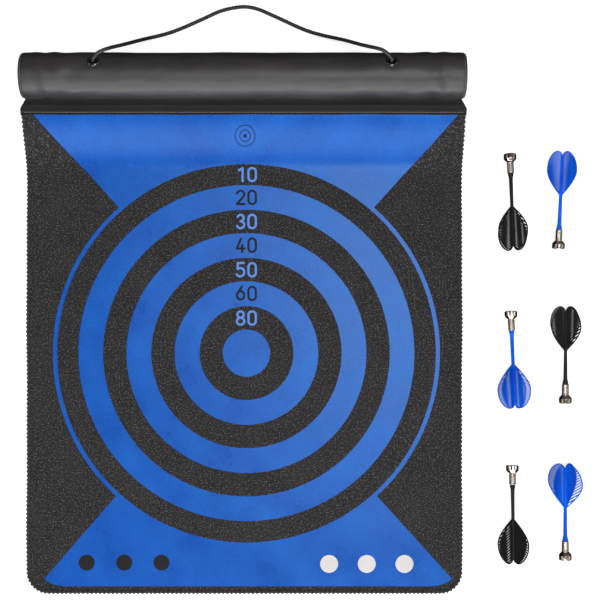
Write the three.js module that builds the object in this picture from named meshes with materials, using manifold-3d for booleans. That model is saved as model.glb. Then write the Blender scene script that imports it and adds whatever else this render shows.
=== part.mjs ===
// Roll-up magnetic dartboard with six magnet-headed darts, laid out on a table.
// Millimetres, +Z up. The origin is under the bull's-eye, on the plane the board lies on.
import * as THREE from 'three';
import { mergeVertices } from 'three/addons/utils/BufferGeometryUtils.js';
import Module from 'manifold-3d';

const wasm = await Module();
wasm.setup();

// ---- Board -------------------------------------------------------------------------------
const MAT_WIDTH = 380;
const MAT_BOTTOM_Y = -210;
const MAT_MIDDLE_X = -1.8; // the print sits 1.8 mm to the right of the board's middle
const CORNER_RADIUS = 19;
const TOP_FLARE = 1.2; // each side is stretched outwards this much where the band holds it
const FLARE_START_Y = 150;
const FLARE_END_Y = 206;
const FAR_BEYOND = 240; // past every edge of the mat, for cutting outlines
const OUTLINE_PRISM = { low: -10, high: 50 }; // taller than the climbing mat

// Layers, as heights above the mat's underside
const BACKING = { low: 0, high: 0.6, inset: 3.1 };
const IRON_SHEET = { low: 0.65, high: 1.65, inset: 0.9 };
const FACE_FABRIC = { low: 1.7, high: 2.3, inset: 0.9 };
const OVERLOCK = { low: 0, high: 2.8, width: 3, slotLow: 0.6, slotHigh: 2.35, slotInset: 0.85 };

// The top of the mat climbs in an S from the table to the middle of the roll
const CLIMB_START_Y = 158;
const HINGE_Y = 215.2;
const HINGE_Z = 18.2;
const CLIMB_HEIGHT = HINGE_Z - 1.15; // the mat's half thickness is 1.15
const CLIMB_STATIONS = 12;

const EDGE_TO_BAND = 0.3; // the edge thread stops this far short of the band
const BAND = { startY: 206.2, endY: 213.4, matEndY: 212.3, skin: 0.9, halfLength: 191.7 };
const STITCH_LINE = { y: 208.1, width: 0.8, height: 0.35, halfLength: 189 };
const LAYER_GAP = 0.05;

// ---- Roll --------------------------------------------------------------------------------
const ROLL_RADIUS = 19.7;
const ROLL_LENGTH = 380.2;
const ROLL_Y = 238.8;
const ROLL_SIDES = 48;
const SLEEVE_SKIN = 1;
const SLEEVE_END_CHAMFER = 0.3;
const TAIL_HALF_THICKNESS = 1;
const TAIL_HALF_LENGTH = 187.4;
const GROOVE = { start: 1.1, depth: 0.5, slope: 0.3, flat: 0.9 };
const RIM_THREAD = { below: 0.1, sideGap: 0.15 }; // lies just under the sleeve's surface
const CORE = { outer: 18.35, inner: 16.35, endInset: 2.9 };
const END_DISC = { radius: 18.35, thickness: 1.2, inset: 1.4 };

const EYELET_OFFSET_X = 126.2;
const EYELET_TILT = THREE.MathUtils.degToRad(28.4); // past the roll's crown, away from the mat
const EYELET = { flangeRadius: 5.2, low: 20, high: 20.8, barrelRadius: 3.1, bore: 2.6, tip: 15 };
const EYELET_HOLE_RADIUS = 3.5;
const HOLE_CUT = { low: 10, high: 30 }; // from inside the core to outside the sleeve
const SADDLE_HALF_LENGTH = 8; // longer than any ring round an eyelet
const WASHER = { radius: 5.6, hole: 3.4, low: 15.2, high: 16.05 };

// ---- Cord --------------------------------------------------------------------------------
const CORD_RADIUS = 1.65;
const CORD_PIVOT_RADIUS = 22.9; // distance of the swing axis from the roll's centre line
const KNOT = { radius: 4.2, flatten: 0.9, centre: 10.3 };

// Route of the cord's centre line, from the left eyelet to the right one
const CORD_ROUTE = [
  [-126.9, 250.6, 41.2], [-123.6, 253.2, 44.2], [-119.2, 255.2, 46], [-114.6, 257.1, 45.3],
  [-110.6, 259, 41.9], [-106.3, 261.4, 36], [-99.7, 265.4, 26], [-92.8, 269.7, 15.8],
  [-86.5, 272.9, 9], [-79.5, 275.6, 4.2], [-67.9, 279.2, 1.85], [-54.6, 284.2, 1.75],
  [-37.9, 291.6, 1.75], [-22.9, 298.3, 1.75], [-11.3, 301.2, 1.75], [-1.3, 302.2, 1.75],
  [8.7, 300.5, 1.75], [22.1, 295, 1.75], [35.4, 288.9, 1.75], [46.7, 283.8, 1.75],
  [56.7, 280, 1.85], [67.6, 276.7, 3.6], [78.2, 273.4, 8.2], [83.8, 271.2, 12.8],
  [89.3, 268.4, 19], [94.4, 265.4, 26.4], [99.9, 262.3, 34], [105.1, 259.8, 40.3],
  [110.7, 257.6, 44.8], [114.3, 256.3, 46.1], [117.6, 254.7, 45.9], [121, 252.5, 43.9],
  [123.3, 250.6, 41.2],
];
const CORD_STEPS = 46;
const CORD_SIDES = 8;

// ---- Darts -------------------------------------------------------------------------------
// Distances along a dart run from the front of its magnet cup towards the tail
const DART_LENGTH = 84.5;
const CUP = { radius: 5.5, recess: 4.65, floor: 3.4, straight: 4.4, neck: 3.5, back: 6.6, chamfer: 0.3 };
const STUD = { radius: 1.6, end: 10.4 };
const MAGNET = { radius: 4.35, front: 0.05, back: 3.1 };
const BARREL = { radius: 2.95, bore: 1.9, start: 6.9, end: 16.8 };
const SPIGOT = { radius: 1.6, start: 10.7 };
const SHAFT = { start: 17.1, radius: 2.45, shoulderEnd: 21.1, shoulderRadius: 1.75 };
const SPINE = { startRadius: 1.45, endRadius: 1.1, end: 81.3 };
const VANE = { start: 45.7, rootHeight: 1, widest: 68.1, height: 17.6, thickness: 0.8 };
const LOBE = { height: 6.2, notch: 81.3, notchHeight: 0.6 }; // the rounded end beside the spine
const VANE_COUNT = 4;
const DART_SIDES = 16;

// Each dart lies with its cup's front at (x, y), turned on the table and rolled about its own axis
const DARTS = [
  { name: 'dart_black_1', black: true, x: 229.3, y: 173.1, turn: 0.9, roll: -8 },
  { name: 'dart_blue_1', black: false, x: 271.4, y: 91.0, turn: 179, roll: 11 },
  { name: 'dart_blue_2', black: false, x: 230.1, y: 36.5, turn: 1.4, roll: 0 },
  { name: 'dart_black_2', black: true, x: 277.5, y: -43.2, turn: 181.4, roll: 9 },
  { name: 'dart_black_3', black: true, x: 231.4, y: -97.4, turn: -0.5, roll: -5 },
  { name: 'dart_blue_3', black: false, x: 277.5, y: -179.5, turn: 181.4, roll: 0 },
];

// ---- Materials ---------------------------------------------------------------------------
const finishes = {
  face: { color: 0x1f5fc8, roughness: 0.85, metalness: 0 },
  iron: { color: 0x5b5e62, roughness: 0.7, metalness: 0.2 },
  backing: { color: 0x222224, roughness: 0.95, metalness: 0 },
  thread: { color: 0x1b1b1c, roughness: 0.9, metalness: 0 },
  leather: { color: 0x3a383c, roughness: 0.45, metalness: 0 },
  board: { color: 0x8a7458, roughness: 0.95, metalness: 0 },
  gunmetal: { color: 0x2b2b2e, roughness: 0.3, metalness: 0.9 },
  cord: { color: 0x1a1a1b, roughness: 0.85, metalness: 0 },
  nickel: { color: 0xb9aea2, roughness: 0.22, metalness: 1 },
  magnet: { color: 0x8d8f92, roughness: 0.35, metalness: 0.9 },
  blackPlastic: { color: 0x202022, roughness: 0.4, metalness: 0 },
  bluePlastic: { color: 0x1544c4, roughness: 0.35, metalness: 0 },
};

function makePart(name, geometry, finish) {
  const mesh = new THREE.Mesh(geometry, new THREE.MeshStandardMaterial(finishes[finish]));
  mesh.name = name;
  return mesh;
}

// ---- Solids ------------------------------------------------------------------------------
function toSolid(geometry) {
  const bare = geometry.clone();
  bare.deleteAttribute('normal');
  bare.deleteAttribute('uv');
  const welded = mergeVertices(bare, 1e-4);
  const mesh = new wasm.Mesh({
    numProp: 3,
    vertProperties: Float32Array.from(welded.attributes.position.array),
    triVerts: Uint32Array.from(welded.index.array),
  });
  return new wasm.Manifold(mesh);
}

function toGeometry(solid) {
  const mesh = solid.getMesh();
  const geometry = new THREE.BufferGeometry();
  geometry.setAttribute('position', new THREE.BufferAttribute(mesh.vertProperties, 3));
  geometry.setIndex(new THREE.BufferAttribute(mesh.triVerts, 1));
  geometry.computeVertexNormals();
  return geometry;
}

function extrude(shape, depth, curveSegments = 6) {
  return new THREE.ExtrudeGeometry(shape, { depth, bevelEnabled: false, curveSegments });
}

// A section drawn in the YZ plane, extruded along X and centred on X = 0
function extrudeAlongX(shape, length) {
  const geometry = extrude(shape, length);
  const along = new THREE.Matrix4().makeBasis(
    new THREE.Vector3(0, 1, 0), new THREE.Vector3(0, 0, 1), new THREE.Vector3(1, 0, 0));
  geometry.applyMatrix4(along);
  geometry.translate(-length / 2, 0, 0);
  return geometry;
}

// A closed profile of [radius, distance along X] turned round the X axis
function turnAboutX(profile, sides) {
  const points = profile.map(([radius, along]) => new THREE.Vector2(radius, along));
  const geometry = new THREE.LatheGeometry(points, sides);
  geometry.rotateZ(-Math.PI / 2);
  return geometry;
}

// ---- Mat ---------------------------------------------------------------------------------
function climbAt(y) {
  const t = THREE.MathUtils.clamp((y - CLIMB_START_Y) / (HINGE_Y - CLIMB_START_Y), 0, 1);
  const slope = CLIMB_HEIGHT * 6 * t * (1 - t) / (HINGE_Y - CLIMB_START_Y);
  return { height: CLIMB_HEIGHT * t * t * (3 - 2 * t), tilt: Math.atan(slope) };
}

const stations = [MAT_BOTTOM_Y - 10];
for (let i = 0; i <= CLIMB_STATIONS; i++) {
  stations.push(THREE.MathUtils.lerp(CLIMB_START_Y, HINGE_Y, i / CLIMB_STATIONS));
}

// The point at a given height above the mat's underside, square to it, at one station
function stationPoint(y, above) {
  const { height, tilt } = climbAt(y);
  return new THREE.Vector2(y - above * Math.sin(tilt), height + above * Math.cos(tilt));
}

// The line at one height above the underside, between two distances along the mat
function layerLine(above, startY, endY) {
  const inside = stations.filter((y) => y > startY && y < endY);
  return [startY, ...inside, endY].map((y) => {
    const next = stations.findIndex((station) => station >= y);
    const low = stations[Math.max(next - 1, 0)];
    const high = stations[next];
    const t = high === low ? 0 : (y - low) / (high - low);
    return stationPoint(low, above).lerp(stationPoint(high, above), t);
  });
}

function layerSection(low, high, startY, endY) {
  const upper = layerLine(high, startY, endY).reverse();
  return new THREE.Shape([...layerLine(low, startY, endY), ...upper]);
}

function layerSlab(low, high, startY, endY, length) {
  return toSolid(extrudeAlongX(layerSection(low, high, startY, endY), length));
}

function outlinePrism(inset) {
  const half = MAT_WIDTH / 2 - inset;
  const radius = CORNER_RADIUS - inset;
  const low = MAT_BOTTOM_Y + inset + radius;
  const side = half - radius;
  const shape = new THREE.Shape();
  shape.moveTo(-half - TOP_FLARE, FAR_BEYOND);
  shape.lineTo(-half - TOP_FLARE, FLARE_END_Y);
  shape.lineTo(-half, FLARE_START_Y);
  shape.absarc(-side, low, radius, Math.PI, 1.5 * Math.PI, false);
  shape.absarc(side, low, radius, 1.5 * Math.PI, 2 * Math.PI, false);
  shape.lineTo(half, FLARE_START_Y);
  shape.lineTo(half + TOP_FLARE, FLARE_END_Y);
  shape.lineTo(half + TOP_FLARE, FAR_BEYOND);
  const geometry = extrude(shape, OUTLINE_PRISM.high - OUTLINE_PRISM.low, 8);
  geometry.translate(0, 0, OUTLINE_PRISM.low);
  return toSolid(geometry);
}

function makeMatLayer({ low, high, inset }) {
  const slab = layerSlab(low, high, stations[0], BAND.matEndY, 2 * FAR_BEYOND);
  return toGeometry(slab.intersect(outlinePrism(inset)));
}

// Thread wrapped round the three free edges, a C in section
function makeOverlock() {
  const endY = BAND.startY - EDGE_TO_BAND;
  const full = layerSlab(OVERLOCK.low, OVERLOCK.high, stations[0], endY, 2 * FAR_BEYOND);
  const tall = layerSlab(-1, 4, stations[0], HINGE_Y, 2 * FAR_BEYOND);
  const slot = layerSlab(
    OVERLOCK.slotLow, OVERLOCK.slotHigh, stations[0], HINGE_Y, 2 * FAR_BEYOND);
  const frame = full.intersect(outlinePrism(0));
  const inside = tall.intersect(outlinePrism(OVERLOCK.width));
  const edgeSlot = slot.intersect(outlinePrism(OVERLOCK.slotInset));
  return toGeometry(frame.subtract(inside).subtract(edgeSlot));
}

// Folded strip that grips the mat's top edge
function makeHeaderBand() {
  const low = -LAYER_GAP - BAND.skin;
  const high = FACE_FABRIC.high + LAYER_GAP + BAND.skin;
  const outer = layerSlab(low, high, BAND.startY, BAND.endY, 2 * BAND.halfLength);
  const inner = layerSlab(
    -LAYER_GAP, FACE_FABRIC.high + LAYER_GAP, BAND.startY - 2, BAND.matEndY + 0.1,
    2 * FAR_BEYOND);
  return toGeometry(outer.subtract(inner));
}

function makeHeaderStitching() {
  const low = FACE_FABRIC.high + BAND.skin + 2 * LAYER_GAP;
  const start = STITCH_LINE.y - STITCH_LINE.width / 2;
  return extrudeAlongX(
    layerSection(low, low + STITCH_LINE.height, start, start + STITCH_LINE.width),
    2 * STITCH_LINE.halfLength);
}

function makeMat() {
  const group = new THREE.Group();
  group.position.x = MAT_MIDDLE_X;
  group.add(makePart('mat_backing', makeMatLayer(BACKING), 'backing'));
  group.add(makePart('mat_iron_sheet', makeMatLayer(IRON_SHEET), 'iron'));
  group.add(makePart('mat_face_fabric', makeMatLayer(FACE_FABRIC), 'face'));
  group.add(makePart('edge_overlock', makeOverlock(), 'thread'));
  group.add(makePart('header_band', makeHeaderBand(), 'leather'));
  group.add(makePart('header_stitching', makeHeaderStitching(), 'thread'));
  return group;
}

// ---- Roll, in its own frame: centre line on X --------------------------------------------
// A plain cylinder standing along the eyelet's direction, between two distances out
function radialPlug(radius, start, end, sides = 24) {
  const geometry = new THREE.CylinderGeometry(radius, radius, end - start, sides);
  geometry.translate(0, (start + end) / 2, 0);
  geometry.rotateX(Math.PI / 2 - EYELET_TILT);
  return toSolid(geometry);
}

function eyeletHole(side) {
  const plug = radialPlug(EYELET_HOLE_RADIUS, HOLE_CUT.low, HOLE_CUT.high);
  return plug.translate([side * EYELET_OFFSET_X, 0, 0]);
}

function makeTail() {
  const back = HINGE_Y - ROLL_Y;
  const level = HINGE_Z - ROLL_RADIUS;
  const wallMiddle = -ROLL_RADIUS + SLEEVE_SKIN / 2;
  const shape = new THREE.Shape();
  shape.moveTo(wallMiddle, level + TAIL_HALF_THICKNESS);
  shape.absarc(back, level, TAIL_HALF_THICKNESS, Math.PI / 2, 1.5 * Math.PI, false);
  shape.lineTo(wallMiddle, level - TAIL_HALF_THICKNESS);
  return toSolid(extrudeAlongX(shape, 2 * TAIL_HALF_LENGTH));
}

function sleeveProfile() {
  const half = ROLL_LENGTH / 2;
  const inner = ROLL_RADIUS - SLEEVE_SKIN;
  const floor = ROLL_RADIUS - GROOVE.depth;
  const flatStart = GROOVE.start + GROOVE.slope;
  const flatEnd = flatStart + GROOVE.flat;
  const end = [
    [inner, 0], [ROLL_RADIUS - SLEEVE_END_CHAMFER, 0], [ROLL_RADIUS, SLEEVE_END_CHAMFER],
    [ROLL_RADIUS, GROOVE.start],
    [floor, flatStart], [floor, flatEnd], [ROLL_RADIUS, flatEnd + GROOVE.slope],
  ];
  const left = end.map(([radius, inset]) => [radius, inset - half]);
  const right = end.map(([radius, inset]) => [radius, half - inset]).reverse();
  return [...left, ...right, left[0]];
}

function makeSleeve() {
  let sleeve = toSolid(turnAboutX(sleeveProfile(), ROLL_SIDES)).add(makeTail());
  for (const side of [-1, 1]) {
    sleeve = sleeve.subtract(eyeletHole(side));
  }
  return toGeometry(sleeve);
}

function makeCore() {
  const half = ROLL_LENGTH / 2 - CORE.endInset;
  const profile = [
    [CORE.inner, -half], [CORE.outer, -half], [CORE.outer, half], [CORE.inner, half],
    [CORE.inner, -half],
  ];
  let core = toSolid(turnAboutX(profile, ROLL_SIDES));
  for (const side of [-1, 1]) {
    core = core.subtract(eyeletHole(side));
  }
  return toGeometry(core);
}

function makeEndDisc(side) {
  const outside = ROLL_LENGTH / 2 - END_DISC.inset;
  const inside = outside - END_DISC.thickness;
  const profile = [[0, inside], [END_DISC.radius, inside], [END_DISC.radius, outside], [0, outside]];
  const disc = turnAboutX(profile, ROLL_SIDES);
  if (side < 0) {
    disc.rotateY(Math.PI);
  }
  return disc;
}

// Ring of thread lying in the sleeve's groove
function makeEndStitching(side) {
  const low = ROLL_RADIUS - GROOVE.depth + LAYER_GAP;
  const high = ROLL_RADIUS - RIM_THREAD.below;
  const start = ROLL_LENGTH / 2 - GROOVE.start - GROOVE.slope - GROOVE.flat + RIM_THREAD.sideGap;
  const end = start + GROOVE.flat - 2 * RIM_THREAD.sideGap;
  const ring = turnAboutX(
    [[low, start], [high, start], [high, end], [low, end], [low, start]], ROLL_SIDES);
  if (side < 0) {
    ring.rotateY(Math.PI);
  }
  return ring;
}

// A ring that follows the roll's curve, cut from a tube by a plug along the eyelet
function saddleRing(radius, low, high) {
  const half = SADDLE_HALF_LENGTH;
  const profile = [[low, -half], [high, -half], [high, half], [low, half], [low, -half]];
  const tube = toSolid(turnAboutX(profile, 2 * ROLL_SIDES));
  return tube.intersect(radialPlug(radius, HOLE_CUT.low, HOLE_CUT.high));
}

function makeEyelet() {
  const flange = saddleRing(EYELET.flangeRadius, EYELET.low, EYELET.high);
  const barrel = radialPlug(EYELET.barrelRadius, EYELET.tip, (EYELET.low + EYELET.high) / 2);
  return toGeometry(flange.add(barrel).subtract(radialPlug(EYELET.bore, HOLE_CUT.low, HOLE_CUT.high)));
}

function makeWasher() {
  const ring = saddleRing(WASHER.radius, WASHER.low, WASHER.high);
  return toGeometry(ring.subtract(radialPlug(WASHER.hole, HOLE_CUT.low, HOLE_CUT.high)));
}

// Stopper knot inside the roll, with the end of the cord standing through the eyelet
function makeKnot() {
  const ball = new THREE.SphereGeometry(KNOT.radius, 14, 8);
  ball.scale(1, KNOT.flatten, 1);
  ball.translate(0, KNOT.centre, 0);
  ball.rotateX(Math.PI / 2 - EYELET_TILT);
  const dome = new THREE.SphereGeometry(CORD_RADIUS, CORD_SIDES, 6);
  dome.translate(0, CORD_PIVOT_RADIUS, 0);
  dome.rotateX(Math.PI / 2 - EYELET_TILT);
  const stub = radialPlug(CORD_RADIUS, KNOT.centre, CORD_PIVOT_RADIUS, CORD_SIDES);
  return toGeometry(toSolid(ball).add(stub).add(toSolid(dome)));
}

function makeRoll() {
  const group = new THREE.Group();
  group.position.set(MAT_MIDDLE_X, ROLL_Y, ROLL_RADIUS);
  group.add(makePart('roll_core', makeCore(), 'board'));
  group.add(makePart('roll_sleeve', makeSleeve(), 'leather'));
  for (const [label, side] of [['left', -1], ['right', 1]]) {
    group.add(makePart(`roll_end_${label}`, makeEndDisc(side), 'leather'));
    group.add(makePart(`end_stitching_${label}`, makeEndStitching(side), 'thread'));
    const eyelet = makePart(`eyelet_${label}`, makeEyelet(), 'gunmetal');
    const washer = makePart(`eyelet_washer_${label}`, makeWasher(), 'gunmetal');
    const knot = makePart(`cord_knot_${label}`, makeKnot(), 'cord');
    for (const piece of [eyelet, washer, knot]) {
      piece.position.x = side * EYELET_OFFSET_X;
      group.add(piece);
    }
  }
  return group;
}

// ---- Hanging cord ------------------------------------------------------------------------
function makeCord() {
  const points = CORD_ROUTE.map(([x, y, z]) => new THREE.Vector3(x, y, z));
  const section = new THREE.Shape();
  for (let i = 0; i < CORD_SIDES; i++) {
    const angle = 2 * Math.PI * i / CORD_SIDES;
    const corner = [CORD_RADIUS * Math.cos(angle), CORD_RADIUS * Math.sin(angle)];
    if (i === 0) {
      section.moveTo(...corner);
    } else {
      section.lineTo(...corner);
    }
  }
  const tube = new THREE.ExtrudeGeometry(section, {
    steps: CORD_STEPS,
    bevelEnabled: false,
    extrudePath: new THREE.CatmullRomCurve3(points, false, 'centripetal'),
  });
  return makePart('hanging_cord', tube, 'cord');
}

// ---- Darts, in their own frame: front of the cup at the origin, tail towards -Y ----------
function turnDartPiece(profile, sides = DART_SIDES) {
  const points = profile.map(([radius, along]) => new THREE.Vector2(radius, -along));
  return new THREE.LatheGeometry(points.reverse(), sides);
}

function makeCup() {
  return turnDartPiece([
    [0, CUP.floor], [CUP.recess, CUP.floor], [CUP.recess, 0], [CUP.radius - CUP.chamfer, 0],
    [CUP.radius, CUP.chamfer], [CUP.radius, CUP.straight], [CUP.neck, CUP.back],
    [STUD.radius, CUP.back], [STUD.radius, STUD.end], [0, STUD.end],
  ]);
}

function makeMagnet() {
  return turnDartPiece([
    [0, MAGNET.front], [MAGNET.radius, MAGNET.front], [MAGNET.radius, MAGNET.back],
    [0, MAGNET.back],
  ]);
}

function makeBarrel() {
  return turnDartPiece([
    [BARREL.bore, BARREL.start], [BARREL.radius, BARREL.start], [BARREL.radius, BARREL.end],
    [BARREL.bore, BARREL.end], [BARREL.bore, BARREL.start],
  ]);
}

// Half outline of one leaf-shaped vane: distance along the dart, height above its axis
function vaneOutline() {
  const shape = new THREE.Shape();
  shape.moveTo(VANE.start, 0);
  shape.lineTo(VANE.start, VANE.rootHeight);
  shape.bezierCurveTo(VANE.start + 4.8, 6, VANE.widest - 7.6, VANE.height, VANE.widest, VANE.height);
  shape.bezierCurveTo(VANE.widest + 9.4, VANE.height, DART_LENGTH - 1, 11.5, DART_LENGTH, LOBE.height);
  shape.bezierCurveTo(DART_LENGTH, 3.2, DART_LENGTH - 1.5, 1, LOBE.notch, LOBE.notchHeight);
  shape.lineTo(LOBE.notch, 0);
  return shape;
}

function makeFlight() {
  const shaft = turnDartPiece([
    [0, SPIGOT.start], [SPIGOT.radius, SPIGOT.start], [SPIGOT.radius, SHAFT.start],
    [SHAFT.radius, SHAFT.start], [SHAFT.shoulderRadius, SHAFT.shoulderEnd],
    [SPINE.startRadius, VANE.start], [SPINE.endRadius, SPINE.end], [0, SPINE.end],
  ], 10);
  let flight = toSolid(shaft);
  for (let i = 0; i < VANE_COUNT; i++) {
    const vane = extrude(vaneOutline(), VANE.thickness, 4);
    vane.translate(0, 0, -VANE.thickness / 2);
    vane.rotateZ(-Math.PI / 2);
    vane.rotateY(Math.PI / 4 + 2 * Math.PI * i / VANE_COUNT);
    flight = flight.add(toSolid(vane));
  }
  return toGeometry(flight);
}

// Lean of a rolled dart that rests on its cup's rim and on its lowest vane
function restingLean(roll) {
  const outline = vaneOutline().getPoints(24);
  const half = VANE.thickness / 2;
  const dip = Math.PI / 4 + Math.abs(roll);
  const slopes = outline.map(
    ({ x, y }) => (y * Math.sin(dip) + half * Math.cos(dip) - CUP.radius) / x);
  return Math.atan(Math.max(...slopes));
}

function makeDart({ name, black, x, y, turn, roll }) {
  const rollAngle = THREE.MathUtils.degToRad(roll);
  const lean = restingLean(rollAngle);
  const placed = new THREE.Group();
  placed.position.set(x, y, CUP.radius * Math.cos(lean));
  placed.rotation.z = THREE.MathUtils.degToRad(turn);
  const dart = new THREE.Group();
  dart.rotation.set(-lean, rollAngle, 0); // XYZ order, so the roll comes first
  dart.add(makePart(`${name}_flight`, makeFlight(), black ? 'blackPlastic' : 'bluePlastic'));
  dart.add(makePart(`${name}_barrel`, makeBarrel(), 'nickel'));
  dart.add(makePart(`${name}_cup`, makeCup(), 'nickel'));
  dart.add(makePart(`${name}_magnet`, makeMagnet(), 'magnet'));
  placed.add(dart);
  return placed;
}

// ---- Assembly ----------------------------------------------------------------------------
const dartboard = new THREE.Group();
dartboard.add(makeMat());
dartboard.add(makeRoll());
dartboard.add(makeCord());
for (const dart of DARTS) {
  dartboard.add(makeDart(dart));
}

export default dartboard;
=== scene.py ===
"""Looks of the roll-up magnetic dartboard and its six darts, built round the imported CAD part.

Lengths in this file are millimetres unless a name says otherwise; meshes are written in metres.
"""

import math

import bpy
import numpy as np
from mathutils import Euler, Matrix, Vector
from mathutils.geometry import delaunay_2d_cdt


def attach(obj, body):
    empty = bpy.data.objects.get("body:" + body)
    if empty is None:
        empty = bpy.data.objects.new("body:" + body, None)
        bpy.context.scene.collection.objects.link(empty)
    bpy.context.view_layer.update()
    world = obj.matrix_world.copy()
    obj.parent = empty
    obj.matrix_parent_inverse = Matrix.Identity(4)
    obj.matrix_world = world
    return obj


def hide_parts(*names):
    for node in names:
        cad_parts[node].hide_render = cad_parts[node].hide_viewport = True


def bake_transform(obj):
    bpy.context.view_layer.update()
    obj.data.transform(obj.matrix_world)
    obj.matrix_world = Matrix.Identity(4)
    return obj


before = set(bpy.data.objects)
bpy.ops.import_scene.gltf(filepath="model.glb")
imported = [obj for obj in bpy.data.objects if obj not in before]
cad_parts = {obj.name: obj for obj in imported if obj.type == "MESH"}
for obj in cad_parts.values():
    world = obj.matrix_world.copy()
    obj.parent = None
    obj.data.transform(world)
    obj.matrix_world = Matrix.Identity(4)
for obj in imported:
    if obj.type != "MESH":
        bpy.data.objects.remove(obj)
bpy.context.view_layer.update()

MM = 0.001
TAU = 2 * math.pi
PRESSED_Z = -0.02

# ---- Sizes shared with the CAD part ----
MAT_WIDTH = 380
MAT_BOTTOM_Y = -210
MAT_MIDDLE_X = -1.8
CORNER_RADIUS = 19
TOP_FLARE = 1.2
FLARE_START_Y = 150
FLARE_END_Y = 206
FACE_LOW, FACE_HIGH, FACE_INSET = 1.7, 2.3, 0.9
CLIMB_START_Y = 158
HINGE_Y, HINGE_Z = 215.2, 18.2
CLIMB_HEIGHT = HINGE_Z - 1.15
BAND_START_Y, MAT_END_Y = 206.2, 212.3
BAND_LOW, BAND_HIGH = -0.95, 3.25
BAND_HALF, TAIL_HALF = 191.7, 187.4
STITCH_Y, STITCH_HALF = 208.1, 189
ROLL_RADIUS, ROLL_LENGTH, ROLL_Y = 19.7, 380.2, 238.8
EYELET_X = 126.2
EYELET_TILT = math.radians(28.4)
CORD_RADIUS = 1.65
CORD_PIVOT = 22.9
KNOT_CENTRE = 10.3
CUP_RADIUS = 5.5

CORD_ROUTE = [
    (-126.9, 250.6, 41.2), (-123.6, 253.2, 44.2), (-119.2, 255.2, 46), (-114.6, 257.1, 45.3),
    (-110.6, 259, 41.9), (-106.3, 261.4, 36), (-99.7, 265.4, 26), (-92.8, 269.7, 15.8),
    (-86.5, 272.9, 9), (-79.5, 275.6, 4.2), (-67.9, 279.2, 1.85), (-54.6, 284.2, 1.75),
    (-37.9, 291.6, 1.75), (-22.9, 298.3, 1.75), (-11.3, 301.2, 1.75), (-1.3, 302.2, 1.75),
    (8.7, 300.5, 1.75), (22.1, 295, 1.75), (35.4, 288.9, 1.75), (46.7, 283.8, 1.75),
    (56.7, 280, 1.85), (67.6, 276.7, 3.6), (78.2, 273.4, 8.2), (83.8, 271.2, 12.8),
    (89.3, 268.4, 19), (94.4, 265.4, 26.4), (99.9, 262.3, 34), (105.1, 259.8, 40.3),
    (110.7, 257.6, 44.8), (114.3, 256.3, 46.1), (117.6, 254.7, 45.9), (121, 252.5, 43.9),
    (123.3, 250.6, 41.2),
]

# Front of each dart's cup, how far the dart is turned on the table, how far it is rolled about
# its own axis, and how many quarter turns it lies round from its first pair of vanes
DARTS = {
    "black_1": (229.3, 173.1, 0.9, -8, 0), "blue_1": (271.4, 91.0, 179, 11, 1),
    "blue_2": (230.1, 36.5, 1.4, 0, 0), "black_2": (277.5, -43.2, 181.4, 9, 1),
    "black_3": (231.4, -97.4, -0.5, -5, 0), "blue_3": (277.5, -179.5, 181.4, 0, 1),
}



def shown(name, data):
    """A new object in the scene."""
    obj = bpy.data.objects.new(name, data)
    bpy.context.scene.collection.objects.link(obj)
    return obj


# ---- Camera ----
CAMERA_AT = (46.7, 46.3, 1100)
camera = shown("camera", bpy.data.cameras.new("camera"))
camera.location = Vector(CAMERA_AT) * MM
camera.data.sensor_width = 36
camera.data.lens = 75.5
camera.data.clip_start = 0.05
camera.data.clip_end = 20
bpy.context.scene.camera = camera


# ---- Meshes ----
def unit(v):
    return v / np.linalg.norm(v, axis=-1, keepdims=True)


class Build:
    """Points and faces that are gathered into one mesh."""

    def __init__(self):
        self.points, self.faces, self.marks, self.count = [], [], [], 0

    def add(self, points, faces):
        points = np.asarray(points, float).reshape(-1, 3)
        faces = [np.asarray(f, int) + self.count for f in faces]
        self.points.append(points)
        self.faces += faces
        self.marks += [0] * len(faces)
        self.count += len(points)
        return self

    def pressed(self):
        """What lies on the table is flattened by it."""
        for points in self.points:
            points[:, 2] = np.maximum(points[:, 2], PRESSED_Z)
        return self

    def object(self, name, materials, sharp=40):
        mesh = bpy.data.meshes.new(name)
        points = np.concatenate(self.points) * MM
        mesh.from_pydata(points.tolist(), [], [f.tolist() for f in self.faces])
        mesh.polygons.foreach_set("material_index", self.marks)
        mesh.shade_smooth()
        mesh.set_sharp_from_angle(angle=math.radians(sharp))
        mesh.validate()
        for m in materials:
            mesh.materials.append(m)
        return shown(name, mesh)


def grid_faces(rows, columns, wrap=False):
    """Quads of a grid of points; wrap joins the last column to the first."""
    i = np.arange(rows - 1)[:, None]
    j = np.arange(columns if wrap else columns - 1)[None]
    k = (j + 1) % columns
    a, b = i * columns + j, i * columns + k
    c, d = (i + 1) * columns + k, (i + 1) * columns + j
    return np.stack([a, b, c, d], -1).reshape(-1, 4)


def sweep(build, line, ups, wide, tall, sides):
    """A tube along a line, with its section's height turned towards ups."""
    line = np.asarray(line, float)
    ups = np.broadcast_to(np.asarray(ups, float), line.shape)
    tangent = unit(np.gradient(line, axis=0))
    side = unit(np.cross(tangent, ups))
    up = np.cross(side, tangent)
    angle = TAU * np.arange(sides) / sides
    wide, tall = (np.broadcast_to(np.asarray(half, float), len(line))[:, None, None]
                  for half in (wide, tall))
    points = (line[:, None] + side[:, None] * wide * np.cos(angle)[None, :, None]
              + up[:, None] * tall * np.sin(angle)[None, :, None])
    faces = list(grid_faces(len(line), sides, wrap=True))
    faces += [np.arange(sides)[::-1], np.arange(sides) + (len(line) - 1) * sides]
    return build.add(points, faces)


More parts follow.
